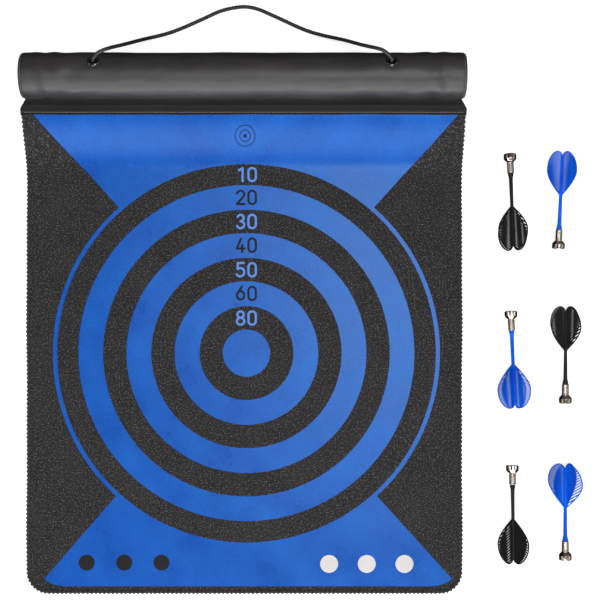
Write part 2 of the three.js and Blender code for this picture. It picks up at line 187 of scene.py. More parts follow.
def turned(build, profile, sides=64, bend=None):
    """A profile of (radius, along) turned round the Y axis, along running towards -Y."""
    profile = np.asarray(profile, float)
    angle = TAU * np.arange(sides) / sides
    r, along = profile[:, 0][:, None], profile[:, 1][:, None]
    points = np.stack([r * np.cos(angle), -along + 0 * angle, r * np.sin(angle)], -1)
    if bend is not None:
        points = bend(points)
    return build.add(points, grid_faces(len(profile), sides, wrap=True))


def rounded(profile, radius, steps=3):
    """The profile with each corner whose radius isn't 0 turned into a small arc."""
    profile = [np.asarray(p, float) for p in profile]
    radii = radius if isinstance(radius, (list, tuple)) else [radius] * len(profile)
    out = [profile[0]]
    for before, at, after, r in zip(profile, profile[1:], profile[2:], radii[1:]):
        cut = min(r, 0.45 * np.linalg.norm(before - at), 0.45 * np.linalg.norm(after - at))
        if cut < 1e-6:
            out.append(at)
            continue
        a, b = at + unit(before - at) * cut, at + unit(after - at) * cut
        for t in np.linspace(0, 1, steps + 1):
            out.append((1 - t) ** 2 * a + 2 * t * (1 - t) * at + t * t * b)
    return np.array(out + [profile[-1]])


def bezier(a, b, c, d, steps):
    t = np.linspace(0, 1, steps + 1)[:, None]
    a, b, c, d = (np.asarray(p, float) for p in (a, b, c, d))
    return (1 - t) ** 3 * a + 3 * t * (1 - t) ** 2 * b + 3 * t * t * (1 - t) * c + t ** 3 * d


def smooth_line(points, step):
    """A centripetal Catmull-Rom line through the points, resampled evenly."""
    p = np.asarray(points, float)
    p = np.vstack([2 * p[0] - p[1], p, 2 * p[-1] - p[-2]])
    out = []
    for p0, p1, p2, p3 in zip(p, p[1:], p[2:], p[3:]):
        t0 = 0.0
        t1 = t0 + np.linalg.norm(p1 - p0) ** 0.5
        t2 = t1 + np.linalg.norm(p2 - p1) ** 0.5
        t3 = t2 + np.linalg.norm(p3 - p2) ** 0.5
        t = np.linspace(t1, t2, 40, endpoint=False)[:, None]

        def blend(a, b, low, high):
            return (high - t) / (high - low) * a + (t - low) / (high - low) * b

        a1, a2, a3 = blend(p0, p1, t0, t1), blend(p1, p2, t1, t2), blend(p2, p3, t2, t3)
        out.append(blend(blend(a1, a2, t0, t2), blend(a2, a3, t1, t3), t1, t2))
    out.append(p[-2][None])
    return resample(np.vstack(out), step)


def resample(line, step):
    line = np.asarray(line, float)
    run = np.concatenate([[0], np.cumsum(np.linalg.norm(np.diff(line, axis=0), axis=1))])
    at = np.linspace(0, run[-1], max(2, round(run[-1] / step) + 1))
    return np.stack([np.interp(at, run, line[:, k]) for k in range(line.shape[1])], -1)


def inside(points, polygon):
    """Which points lie in a polygon, by counting crossings."""
    x, y = points[:, 0][:, None], points[:, 1][:, None]
    a, b = polygon, np.roll(polygon, -1, axis=0)
    straddles = (a[:, 1] > y) != (b[:, 1] > y)
    rise = np.where(b[:, 1] == a[:, 1], 1e-12, b[:, 1] - a[:, 1])
    cross = a[:, 0] + (y - a[:, 1]) * (b[:, 0] - a[:, 0]) / rise
    return ((straddles & (x < cross)).sum(1) % 2) == 1


def off_line(points, line):
    """Distance of points from an open line."""
    best = np.full(len(points), 1e9)
    for a, b in zip(line, line[1:]):
        d = b - a
        t = np.clip(((points - a) @ d) / max(d @ d, 1e-12), 0, 1)
        best = np.minimum(best, np.linalg.norm(points - (a + t[:, None] * d), axis=1))
    return best


def triangulate(loops, scattered=()):
    """Delaunay triangles that keep every loop's edges."""
    points, edges = [], []
    for loop, closed in loops:
        first = len(points)
        points += [Vector(p) for p in loop]
        n = len(loop)
        edges += [(first + i, first + (i + 1) % n) for i in range(n if closed else n - 1)]
    points += [Vector(p) for p in scattered]
    made = delaunay_2d_cdt(points, edges, [], 0, 1e-5)
    return np.array([tuple(v) for v in made[0]]), np.array([tuple(f) for f in made[2]])


def upright(points, triangles):
    """Only the points in use, every triangle turned anticlockwise, and twice their areas."""
    used, triangles = np.unique(triangles, return_inverse=True)
    triangles = triangles.reshape(-1, 3)
    points = points[used]
    a, b, c = (points[triangles[:, k]] for k in range(3))
    u, v = b - a, c - a
    area = u[:, 0] * v[:, 1] - u[:, 1] * v[:, 0]
    triangles[area < 0] = triangles[area < 0][:, ::-1]
    return points, triangles, area


def open_sides(triangles):
    """The triangles' sides that no other triangle shares."""
    sides = dict.fromkeys((int(t[k]), int(t[(k + 1) % 3])) for t in triangles for k in range(3))
    return [(i, j) for i, j in sides if (j, i) not in sides]


# ---- Materials ----
def ramp_node(tree, stops):
    """A colour ramp through stops of (place, colour or level of grey)."""
    node = tree.nodes.new("ShaderNodeValToRGB")
    for at, _ in stops[2:]:
        node.color_ramp.elements.new(at)
    for element, (at, colour) in zip(node.color_ramp.elements, stops):
        element.position = at
        colour = (colour,) * 3 if isinstance(colour, (int, float)) else colour
        element.color = (*colour, 1)
    return node


class Paint:
    """A procedural material, built node by node on the Principled shader."""

    def __init__(self, name, **constant):
        self.material = bpy.data.materials.new(name)
        self.material.use_nodes = True
        self.tree = self.material.node_tree
        self.shader = self.tree.nodes["Principled BSDF"]
        for socket, value in constant.items():
            self.shader.inputs[socket.replace("_", " ")].default_value = value
        self.where = self.tree.nodes.new("ShaderNodeTexCoord").outputs["Object"]
        self.normal = None

    def put(self, value, socket):
        if isinstance(value, bpy.types.NodeSocket):
            self.tree.links.new(value, socket)
        elif value is not None:
            socket.default_value = value

    def node(self, kind, **inputs):
        node = self.tree.nodes.new("ShaderNode" + kind)
        for socket, value in inputs.items():
            self.put(value, node.inputs[socket])
        return node

    def noise(self, scale, detail=2, rough=0.5, stretch=(1, 1, 1)):
        return self.node("TexNoise", Scale=scale, Detail=detail, Roughness=rough,
                         Vector=self.stretched(stretch)).outputs["Fac"]

    def cells(self, scale, feature="F1", stretch=(1, 1, 1)):
        node = self.node("TexVoronoi", Scale=scale, Vector=self.stretched(stretch))
        node.feature = feature
        return node.outputs["Distance"]

    def stretched(self, stretch):
        if tuple(stretch) == (1, 1, 1):
            return self.where
        return self.node("Mapping", Scale=stretch, Vector=self.where).outputs["Vector"]

    def ramp(self, value, stops):
        node = ramp_node(self.tree, stops)
        self.put(value, node.inputs["Fac"])
        return node.outputs["Color"]

    def between(self, value, low, high):
        """From low to high over the middle part of a noise."""
        return self.ramp(value, [(0.3, low), (0.7, high)])

    def sums(self, a, b, operation="ADD"):
        node = self.node("Math")
        node.operation = operation
        self.put(a, node.inputs[0])
        self.put(b, node.inputs[1])
        return node.outputs[0]

    def times(self, a, b):
        return self.sums(a, b, "MULTIPLY")

    def mix(self, factor, a, b):
        node = self.node("Mix")
        node.data_type = "RGBA"
        colours = [s for s in node.inputs if s.type == "RGBA"]
        for value, socket in ((a, colours[0]), (b, colours[1])):
            self.put((*value, 1) if isinstance(value, tuple) else value, socket)
        self.put(factor, node.inputs["Factor"])
        return next(s for s in node.outputs if s.type == "RGBA")

    def bump(self, height, distance_mm):
        node = self.node("Bump", Strength=1.0, Distance=distance_mm * MM, Height=height)
        if self.normal is not None:
            self.put(self.normal, node.inputs["Normal"])
        self.normal = node.outputs["Normal"]
        return self

    def done(self, colour=None, rough=None):
        self.put(colour, self.shader.inputs["Base Color"])
        self.put(rough, self.shader.inputs["Roughness"])
        if self.normal is not None:
            self.put(self.normal, self.shader.inputs["Normal"])
        return self.material


def printed(name, dark, light, rough=(0.5, 0.62), film=0.0, sheen_specks=0.0, gloss=0.3, relief=1.0,
            tint=(1, 1, 1)):
    """Ink on a brushed knit: grain, a soft blotchy tone painted in as the patchy sheen of the
    slightly wavy fabric and, where black, pale dots painted in as the sheen of single fibres.
    """
    p = Paint(name, Sheen_Weight=0.03 * relief, Specular_IOR_Level=gloss,
              Specular_Tint=(*tint, 1))
    grain = p.noise(820, 4, 0.75)
    knit = p.noise(900, 2, 0.6, (1, 0.35, 1))
    # Soft blotches of lighter and darker tone: painted sheen, standing in for the fabric's waves
    # catching the light unevenly.
    sheen_mottle = p.noise(26, 3, 0.55)
    grain_and_sheen = p.sums(p.times(grain, 0.65), p.times(sheen_mottle, 0.35))
    colour = p.ramp(grain_and_sheen, [(0.36, dark), (0.64, light)])
    # Pale dots on black: painted highlights for the sheen of single fibres.
    if sheen_specks:
        spots = p.ramp(p.noise(780, 2, 0.5), [(0.54, 0.0), (0.68, 1.0)])
        colour = p.mix(spots, colour, (sheen_specks, sheen_specks, sheen_specks * 1.02))
    p.bump(p.noise(24, 1, 0.3), 1.4 * film + 0.08)
    p.bump(knit, 0.12 * relief)
    p.bump(grain, 0.1 * relief)
    return p.done(colour, p.between(sheen_mottle, *rough))


# Its pale dots are painted fibre sheen.
face_black = printed("face_black", (0.002, 0.002, 0.0025), (0.025, 0.023, 0.025),
                     rough=(0.8, 0.92), sheen_specks=0.095)
face_blue = printed("face_blue", (0.0005, 0.046, 0.33), (0.003, 0.114, 0.53),
                    rough=(0.26, 0.32), film=0.06, gloss=0.4, relief=0.4, tint=(0.56, 0.88, 1))
face_ink = printed("face_ink", (0.004, 0.004, 0.006), (0.011, 0.011, 0.014),
                   rough=(0.5, 0.6), gloss=0.2, relief=0.4)
face_light = printed("face_light_blue", (0.06, 0.19, 0.6), (0.11, 0.28, 0.74),
                     rough=(0.45, 0.6), film=0.2)
face_white = printed("face_white", (0.56, 0.55, 0.55), (0.72, 0.7, 0.71),
                     rough=(0.6, 0.75))


def felt(name, dark, light):
    p = Paint(name, Sheen_Weight=0.15, Specular_IOR_Level=0.2)
    fibres = p.noise(700, 4, 0.7, (1, 0.25, 1))
    across = p.noise(650, 4, 0.7, (0.25, 1, 1))
    both = p.times(p.sums(fibres, across), 0.5)
    p.bump(both, 0.18)
    p.bump(p.noise(60, 2), 0.2)
    return p.done(p.ramp(both, [(0.35, dark), (0.65, light)]),
                  p.between(fibres, 0.88, 1.0))


def rubber(name):
    p = Paint(name, Specular_IOR_Level=0.4)
    grit = p.cells(1600)
    p.bump(grit, 0.04)
    p.bump(p.noise(120, 3), 0.08)
    spots = p.ramp(grit, [(0.05, 1.0), (0.2, 0.0)])
    base = p.between(p.noise(45, 4), 0.05, 0.085)
    return p.done(p.mix(spots, base, (0.16, 0.15, 0.15)),
                  p.between(p.noise(300, 3), 0.6, 0.78))


def thread(name, dark=0.008, light=0.035, scale=2600, rough=(0.62, 0.85), gloss=0.4):
    p = Paint(name, Sheen_Weight=0.2 * gloss, Specular_IOR_Level=gloss)
    twist = p.noise(scale, 3, 0.7, (1, 0.3, 0.6))
    p.bump(twist, 0.06)
    return p.done(p.ramp(twist, [(0.35, dark), (0.68, light)]),
                  p.between(p.noise(900, 2), *rough))


def leather(name, depth=1.0, rough=(0.3, 0.42)):
    """Black PU with a fine pebble grain, softly glossy and unevenly worn; a depth below 1 makes a
    darker, duller copy whose darker colour is painted shade.
    """
    p = Paint(name, Specular_IOR_Level=0.5 * depth, Coat_Weight=0.06 * depth,
              Coat_Roughness=0.35)
    pebbles = p.cells(1250, "SMOOTH_F1")
    creases = p.cells(760, "DISTANCE_TO_EDGE", (1, 0.6, 1))
    lines = p.ramp(creases, [(0.0, 0.0), (0.09, 1.0)])
    patches = p.noise(38, 3, 0.55, (0.6, 1, 1))
    fine = p.noise(2400, 2)
    p.bump(patches, 1.1)
    p.bump(p.noise(16, 2, 0.4, (0.5, 1, 1)), 1.6)
    p.bump(lines, 0.035)
    p.bump(pebbles, 0.03)
    dark, light = ((0.026 * depth, 0.025 * depth, 0.028 * depth),
                   (0.041 * depth, 0.039 * depth, 0.043 * depth))
    base = p.between(patches, dark, light)
    colour = p.mix(p.ramp(lines, [(0.0, 0.55), (1.0, 1.0)]), tuple(0.7 * c for c in dark), base)
    spread = p.between(patches, *rough)
    return p.done(colour, p.sums(spread, p.times(fine, 0.06)))


def metal(name, dark, light, rough, grain=(1, 1, 1), scratch=0.02):
    p = Paint(name, Metallic=1.0)
    brushed = p.noise(700, 4, 0.7, grain)
    smudge = p.noise(140, 3, 0.6)
    p.bump(brushed, scratch)
    p.bump(p.noise(240, 2, 0.5), scratch * 1.5)
    both = p.sums(p.times(brushed, 0.5), p.times(smudge, 0.5))
    return p.done(p.ramp(both, [(0.35, dark), (0.65, light)]), p.between(both, *rough))


def plastic(name, dark, light, rough, glow, gloss=0.2):
    """Thin moulded plastic with flow marks, fine scuffs and a little light in its edges."""
    p = Paint(name, Subsurface_Weight=glow, Subsurface_Scale=0.002,
              Specular_IOR_Level=gloss)
    flow = p.noise(90, 3, 0.55, (1, 0.35, 1))
    scuff = p.noise(1400, 3, 0.7, (0.25, 1, 1))
    p.bump(flow, 0.12)
    p.bump(scuff, 0.012)
    return p.done(p.ramp(flow, [(0.32, dark), (0.68, light)]), p.between(scuff, *rough))


def greyboard(name):
    p = Paint(name, Specular_IOR_Level=0.25)
    fibres = p.noise(420, 5, 0.75, (0.3, 1, 1))
    flecks = p.ramp(p.cells(520), [(0.08, 0.0), (0.2, 1.0)])
    p.bump(fibres, 0.12)
    base = p.between(fibres, (0.2, 0.15, 0.1), (0.33, 0.26, 0.18))
    return p.done(p.mix(flecks, (0.12, 0.1, 0.08), base), p.between(fibres, 0.85, 0.98))


edge_thread = thread("edge_thread")
# The stitches' black thread, painted mid grey: the lighter colour is a painted highlight for
# their glints.
glinting_seam_thread = thread("glinting_seam_thread", 0.05, 0.19)
cord_yarn = thread("cord_yarn", 0.001, 0.006, 3200, (0.12, 0.24), 0.6)
black_leather = leather("black_leather")
# The strip is the same PU as the roll: this darker copy paints shade into its colour.
shaded_strip_leather = leather("shaded_strip_leather", 0.42, (0.5, 0.64))
backing_felt = felt("backing_felt", (0.012, 0.012, 0.013), (0.03, 0.03, 0.031))
iron_rubber = rubber("iron_rubber")
core_board = greyboard("core_board")
gunmetal = metal("gunmetal", (0.045, 0.045, 0.048), (0.13, 0.13, 0.135), (0.08, 0.16))
nickel = metal("nickel", (0.4, 0.35, 0.3), (0.66, 0.6, 0.54), (0.07, 0.15),
               grain=(0.3, 2.2, 0.3), scratch=0.012)
magnet_nickel = metal("magnet_nickel", (0.42, 0.43, 0.44), (0.6, 0.6, 0.61), (0.2, 0.34))
black_plastic = plastic("black_plastic", (0.006, 0.006, 0.007), (0.015, 0.015, 0.017),
                        (0.34, 0.46), 0.0)
blue_plastic = plastic("blue_plastic", (0.001, 0.06, 0.56), (0.002, 0.14, 0.8),
                       (0.34, 0.46), 0.03, gloss=0.06)


def place(obj, body, slot, *stands_for):
    """Puts a finished piece on its CAD body."""
    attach(obj, body)
    if stands_for:
        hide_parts(*stands_for)
    return obj


def repaint(node, material):
    """A CAD node that stays as it is, with a detailed material."""
    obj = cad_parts[node]
    obj.data.materials.clear()
    obj.data.materials.append(material)


# ---- Cords ----
BRAID_STRANDS = 4
BRAID_PITCH = 11.0
BRAID_STEPS = 24
BRAID_SIDES = 8


def carried_frames(line):
    """Two normals at each point of a line, carried along it without twisting."""
    tangent = unit(np.gradient(line, axis=0))
    first = np.cross(tangent[0], (0, 0, 1.0))
    if np.linalg.norm(first) < 0.1:
        first = np.cross(tangent[0], (1.0, 0, 0))
    normals = [unit(first)]
    for t in tangent[1:]:
        n = normals[-1] - t * (normals[-1] @ t)
        normals.append(unit(n))
    normals = np.array(normals)
    return normals, np.cross(tangent, normals)


def braid(build, line):
    """Two sets of strands that wind opposite ways and pass over two and under two."""
    line = resample(line, BRAID_PITCH / BRAID_STEPS)
    a, b = carried_frames(line)
    run = np.arange(len(line)) / BRAID_STEPS
    middle, swing = 0.73 * CORD_RADIUS, 0.08 * CORD_RADIUS
    for way in (1, -1):
        for k in range(BRAID_STRANDS):
            angle = TAU * (k / BRAID_STRANDS + way * run)
            crossing = TAU / 4 * (2 * k + way * 2 * BRAID_STRANDS * run) + TAU / 8
            r = middle + way * swing * np.cos(crossing)
            out = a * np.cos(angle)[:, None] + b * np.sin(angle)[:, None]
            sweep(build, line + out * r[:, None], out, 0.44 * CORD_RADIUS,
                  0.23 * CORD_RADIUS, BRAID_SIDES)
    return build


def on_roll(x, angle, radius):
    """A point on the roll: angle from its crown, towards +Y."""
    x, angle, radius = np.broadcast_arrays(
        np.asarray(x, float), np.asarray(angle, float), np.asarray(radius, float))
    return np.stack([MAT_MIDDLE_X + x, ROLL_Y + radius * np.sin(angle),
                     ROLL_RADIUS + radius * np.cos(angle)], -1)


OUTWARDS = np.array([0, math.sin(EYELET_TILT), math.cos(EYELET_TILT)])  # from roll to eyelet
pivots = {side: on_roll(side * EYELET_X, EYELET_TILT, CORD_PIVOT) for side in (-1, 1)}
cord_line = smooth_line([pivots[-1], *CORD_ROUTE, pivots[1]], BRAID_PITCH / BRAID_STEPS)
hanging = braid(Build(), cord_line).pressed().object("braided_cord", [cord_yarn], sharp=60)
place(hanging, "cord", "braided_cord", "hanging_cord")

for label, side in (("left", -1), ("right", 1)):
    build = Build()
    straight = on_roll(side * EYELET_X, EYELET_TILT, np.linspace(KNOT_CENTRE + 2, CORD_PIVOT, 30))
    braid(build, straight)
    turn = np.linspace(0, TAU, 90)
    loops = np.stack([np.sin(turn) + 2 * np.sin(2 * turn), np.cos(turn) - 2 * np.cos(2 * turn),
                      -1.15 * np.sin(3 * turn)], -1)
    tilted = np.array(Euler((-EYELET_TILT, 0, 0)).to_matrix())
    braid(build, on_roll(side * EYELET_X, EYELET_TILT, KNOT_CENTRE - 0.6) + loops @ tilted.T)
    ball = [(CORD_RADIUS * 0.93 * math.sin(t), -CORD_RADIUS * 0.93 * math.cos(t))
            for t in np.linspace(0.01, math.pi - 0.01, 12)]
    turned(build, ball, 20, bend=lambda q, at=pivots[side]: q + at)
    place(build.object(f"cord_tail_{label}", [cord_yarn], sharp=60),
          "roll", "braided_cord", f"cord_knot_{label}")


# ---- Mat ----
def climb(y):
    """Height of the mat's underside above the table, and its tilt."""
    span = HINGE_Y - CLIMB_START_Y
    t = np.clip((np.asarray(y, float) - CLIMB_START_Y) / span, 0, 1)
    return CLIMB_HEIGHT * t * t * (3 - 2 * t), np.arctan(CLIMB_HEIGHT * 6 * t * (1 - t) / span)


def lift(x, y, above):
    """The point above the mat's underside at (x, y), square to it."""
    x, y, above = np.broadcast_arrays(np.asarray(x, float), np.asarray(y, float), above)
    height, tilt = climb(y)
    return np.stack([x, y - above * np.sin(tilt), height + above * np.cos(tilt)], -1)


def swell(x, y):
    """The mat doesn't lie quite flat: it rises by up to 0.4 mm in soft patches."""
    calm = np.clip((200 - y) / 50, 0, 1)
    waves = (np.sin(x / 47 + y / 61 + 0.7) * np.sin(y / 38 - x / 90 + 1.9)
             + 0.6 * np.sin(x / 23 - y / 71) * np.sin(y / 29 + 0.4))
    return 0.13 * (1.6 + waves) * calm


def drift(y):
    """The sides wander by a fraction of a millimetre."""
    return 0.22 * np.sin(y / 31 + 0.5) + 0.14 * np.sin(y / 13.7)


def edge_line(end_y, step):
    """The mat's free edge from the top left corner round to the top right one, resampled,
    with its outward normals."""
    half = MAT_WIDTH / 2
    low = MAT_BOTTOM_Y + CORNER_RADIUS
    side = half - CORNER_RADIUS
    flare = (end_y - FLARE_START_Y) / (FLARE_END_Y - FLARE_START_Y) * TOP_FLARE
    turn = np.linspace(0, math.pi / 2, 16)
    line = [(-half - flare, end_y), (-half, FLARE_START_Y)]
    line += [(-side - CORNER_RADIUS * math.cos(t), low - CORNER_RADIUS * math.sin(t))
             for t in turn]
    line += [(side + CORNER_RADIUS * math.sin(t), low - CORNER_RADIUS * math.cos(t))
             for t in turn]
    line += [(half, FLARE_START_Y), (half + flare, end_y)]
    line = resample(line, step)
    wander = np.sign(line[:, 0]) * drift(line[:, 1]) * np.clip((200 - line[:, 1]) / 40, 0, 1)
    line[:, 0] += wander * np.clip((line[:, 1] - low + 10) / 30, 0, 1)
    line[:, 0] += MAT_MIDDLE_X
    tangent = unit(np.gradient(line, axis=0))
    return line, np.stack([tangent[:, 1], -tangent[:, 0]], -1)


RING_RADII = (20.6, 41.0, 62.6, 83.0, 104.6, 125.0, 146.5, 165.2, 168.8)
BLACK, BLUE, LIGHT, WHITE, INK, UNDER = range(6)
MARK = (-0.8, 189.2)  # a small plain target: two rings round a dot
MARK_RINGS = (8.6, 4.6)
MARK_LINE = 0.75
DOTS = [*((x, -182.8, 7.0, INK) for x in (-139.3, -106.6, -74.1)),
        *((x, -183.9, 7.8, WHITE) for x in (72.1, 104.9, 137.8)), (*MARK, 1.5, INK)]
SCORES = [("10", 155.8, LIGHT), ("20", 135.8, INK), ("30", 114.8, LIGHT), ("40", 94.1, INK),
          ("50", 72.7, LIGHT), ("60", 52.0, INK), ("80", 30.6, LIGHT)]
DIGIT_HEIGHT, DIGIT_WIDTH, DIGIT_LINE = 13.6, 8.4, 1.95
DIGIT_MIDDLES = (-5.15, 4.95)


def circle(x, y, radius, n):
    t = TAU * np.arange(n) / n
    return np.stack([x + radius * np.cos(t), y + radius * np.sin(t)], -1)


def arc(x, y, rx, ry, start, end, n=14):
    """Part of an ellipse; angles in degrees from +X, anticlockwise."""
    t = np.radians(np.linspace(start, end, n))
    return np.stack([x + rx * np.cos(t), y + ry * np.sin(t)], -1)


def digit(mark, w, h):
    """Centre lines of a plain round-ended numeral, in a box from -w to w and -h to h."""
    if mark == "0":
        return [np.vstack([arc(0, h - w, w, w, 0, 180), arc(0, w - h, w, w, 180, 360),
                           [(w, h - w)]])]
    if mark == "1":
        return [np.array([(-0.45 * w, 0.62 * h), (0.55 * w, h), (0.55 * w, -h)])]
    if mark == "2":
        bowl = arc(0, h - w, 0.95 * w, w, 165, -35)
        return [np.vstack([bowl, [(-w, -h), (w, -h)]])]
    if mark == "3":
        top = arc(0, 0.52 * h, 0.85 * w, 0.48 * h, 160, -90)
        low = arc(0, -0.48 * h, w, 0.52 * h, 90, -160, 18)
        return [top, low]
    if mark == "4":
        return [np.array([(0.1 * w, h), (-w, -0.5 * h), (1.05 * w, -0.5 * h)]),
                np.array([(0.45 * w, 0.02 * h), (0.45 * w, -h)])]
    if mark == "5":
        bowl = arc(-0.1 * w, -0.37 * h, 1.1 * w, 0.63 * h, 118, -150, 20)
        return [np.vstack([[(0.85 * w, h), (-0.75 * w, h), (-0.8 * w, 0.12 * h)], bowl])]
    if mark == "6":
        return [arc(0, -0.28 * h, w, 0.62 * h, 145, 505, 30),
                np.array([(-0.82 * w, -0.02 * h), (0.35 * w, h)])]
    return [arc(0, 0.52 * h, 0.85 * w, 0.48 * h, 0, 360, 26),
            arc(0, -0.48 * h, w, 0.52 * h, 0, 360, 28)]


def outlined(line, half):
    """The outline of a round-ended stroke along an open line."""
    closed = np.linalg.norm(line[0] - line[-1]) < 1e-6
    if closed:
        around = line[:-1]
        tangent = unit(np.roll(around, -1, 0) - np.roll(around, 1, 0))
        normal = np.stack([-tangent[:, 1], tangent[:, 0]], -1)
        return [around + normal * half, around - normal * half]
    out = []
    for a, b in zip(line, line[1:]):
        d = unit(b - a)
        n = np.array([-d[1], d[0]])
        cap = [b + half * (math.cos(t) * n + math.sin(t) * d)
               for t in np.linspace(0, math.pi, 8)]
        cap += [a + half * (math.cos(t) * n - math.sin(t) * d)
                for t in np.linspace(math.pi, 0, 8)]
        out.append(np.array(cap))
    return out


def trapezoids():
    top = np.array([(-188.2, 212.3), (-110.4, 126.0), (110.4, 126.0), (188.2, 212.3)])
    left = bezier((-176.2, -196.9), (-171.8, -201.5), (-164.8, -203.4), (-156, -203.4), 8)
    right = bezier((158, -203.4), (167, -203.4), (174.2, -201.5), (179.3, -196.9), 8)
    low = np.vstack([[(-114, -125)], left, right, [(114, -125)]])
    return [top, low]


def finely(polygon, step):
    """The polygon's corners with points added along its sides."""
    closed = np.vstack([polygon, polygon[:1]])
    out = []
    for a, b in zip(closed, closed[1:]):
        n = max(1, round(np.linalg.norm(b - a) / step))
        out += [a + (b - a) * i / n for i in range(n)]
    return np.array(out)


def make_face():
    line, outward = edge_line(MAT_END_Y, 4.0)
    outline = line - outward * FACE_INSET
    loops = [(outline, True)]
    loops += [(circle(0, 0, r, 240 if r > 60 else 140), True) for r in RING_RADII]
    loops += [(circle(x, y, r, 48), True) for x, y, r, _ in DOTS]
    shapes = trapezoids()
    loops += [(finely(s, 6), True) for s in shapes]
    strokes = []
    w, h = (DIGIT_WIDTH - DIGIT_LINE) / 2, (DIGIT_HEIGHT - DIGIT_LINE) / 2
    for text, y, ink in SCORES:
        for mark, x in zip(text, DIGIT_MIDDLES):
            strokes += [(stroke + (x, y), DIGIT_LINE / 2, ink) for stroke in digit(mark, w, h)]
    for radius in MARK_RINGS:
        ring = circle(*MARK, radius, 64)
        strokes.append((np.vstack([ring, ring[:1]]), MARK_LINE / 2, INK))
    for stroke, half, _ in strokes:
        loops += [(o, True) for o in outlined(stroke, half)]
    taken = np.vstack([loop for loop, _ in loops])
    xs = np.arange(-184, 184, 8.0)
    flat = [(x + MAT_MIDDLE_X + (3.5 if i % 2 else 0), y)
            for i, y in enumerate(np.arange(-204, 158, 8.0)) for x in xs]
    rising = [(x + MAT_MIDDLE_X, y) for y in np.arange(158.5, 212, 2.6) for x in xs]
    scattered = np.array([p for p in flat + rising
                          if np.abs(taken - p).sum(1).min() > 2.2])
    scattered = scattered[inside(scattered, outline)]
    points, triangles = triangulate(loops, scattered)
    middle = points[triangles].mean(1)
    keep = inside(middle, outline)
    triangles, middle = triangles[keep], middle[keep]
    ring = np.searchsorted(RING_RADII, np.linalg.norm(middle, axis=1))
    ink = np.where(ring % 2 == 0, BLUE, BLACK)
    ink[ring == len(RING_RADII)] = BLACK
    outside = ring == len(RING_RADII)
    for shape in shapes:
        ink[outside & inside(middle, shape)] = BLUE
    for x, y, r, colour in DOTS:
        ink[np.linalg.norm(middle - (x, y), axis=1) < r] = colour
    for stroke, half, colour in strokes:
        near = np.abs(middle - stroke.mean(0)).max(1) < DIGIT_HEIGHT
        ink[np.flatnonzero(near)[off_line(middle[near], stroke) < half]] = colour
    points, triangles, _ = upright(points, triangles)
    rise = swell(points[:, 0], points[:, 1])
    top = lift(points[:, 0], points[:, 1], FACE_HIGH + rise)
    under = lift(points[:, 0], points[:, 1], FACE_LOW + 0.6 * rise)
    build = Build()
    count = len(points)
    build.points, build.count = [top, under], 2 * count
    build.faces = list(triangles) + list(triangles[:, ::-1] + count)
    build.marks = ink.tolist() + [UNDER] * len(triangles)
    for i, j in open_sides(triangles):
        build.faces.append(np.array([j, i, i + count, j + count]))
        build.marks.append(UNDER)
    return build.object("printed_face",
                        [face_black, face_blue, face_light, face_white, face_ink,
                         backing_felt], 50)


EDGE_PITCH = 3.7
EDGE_STEPS = 12  # fine steps along the edge for each wrap of thread


def make_edge():
    """Overlocked edge: threads that wrap it both ways, a needle thread and the padding below."""
    build = Build()
    end_y = BAND_START_Y - 0.5
    fine, outward = edge_line(end_y, EDGE_PITCH / EDGE_STEPS)
    run = np.arange(len(fine))

    def at(steps, inset, above):
        """The point so many fine steps along the edge, inset from it and above the underside."""
        steps = np.clip(steps, 0, len(fine) - 1)
        x = np.interp(steps, run, fine[:, 0])
        y = np.interp(steps, run, fine[:, 1])
        nx = np.interp(steps, run, outward[:, 0])
        ny = np.interp(steps, run, outward[:, 1])
        x, y = x - nx * inset, y - ny * inset
        return lift(x, y, above + swell(x, y) * (above > 1))

    insets = np.array([2.95, 2.3, 1.4, 0.62, 0.12, 0.02, 0.12, 0.62, 1.5, 2.4, 2.9])
    heights = np.array([2.28, 2.66, 2.72, 2.6, 2.1, 1.4, 0.72, 0.26, 0.16, 0.18, 0.4])
    share = np.array([0, 0.26, 0.6, 0.86, 0.97, 1, 1.03, 1.14, 1.4, 1.74, 2.0]) * 6
    loops = (len(fine) - 1) // EDGE_STEPS
    rng = np.random.default_rng(7)
    for k in range(loops + 1):
        centre = EDGE_STEPS * k + rng.normal(0, 0.35)
        fat = 1 + rng.normal(0, 0.06)
        for way in (1, -1):
            steps = centre + way * (share + rng.normal(0, 0.15))
            line = at(steps, insets - 0.06 * (way > 0), heights + 0.07 * (way > 0))
            ahead = at(steps + 1.0, insets, heights) - at(steps - 1.0, insets, heights)
            ups = np.cross(np.gradient(line, axis=0), ahead)
            sweep(build, line, ups + 1e-9, 0.74 * fat, 0.4 * fat, 6)
        steps = centre + np.array([-4.6, -2.5, 0, 2.5, 4.6])
        line = at(steps, 2.72 + 0 * steps, np.array([2.42, 2.78, 2.9, 2.78, 2.42]))
        sweep(build, line, (0, 0, 1.0), 0.3, 0.24, 5)
    stations = np.arange(0, len(fine), 18)
    section = [(3.0, 2.2), (1.7, 2.3), (0.8, 2.2), (0.45, 1.9), (0.4, 1.4), (0.45, 0.8),
               (0.8, 0.45), (1.7, 0.35), (3.0, 0.3), (3.0, 0.55), (1.2, 0.65), (1.2, 2.15)]
    rows = np.stack([at(stations, u, h) for u, h in section], 1)
    build.add(rows, list(grid_faces(len(stations), len(section), wrap=True)))
    return build.pressed().object("mat_edge", [edge_thread], sharp=70)


face = make_face()
place(face, "root", "printed_fabric", "mat_face_fabric")
edge = make_edge()
place(edge, "root", "edge_thread", "edge_overlock")
repaint("mat_backing", backing_felt)
repaint("mat_iron_sheet", iron_rubber)


# ---- Header strip ----
STITCH_PITCH = 3.0


def bell(x, width):
    return np.exp(-(x / width) ** 2)


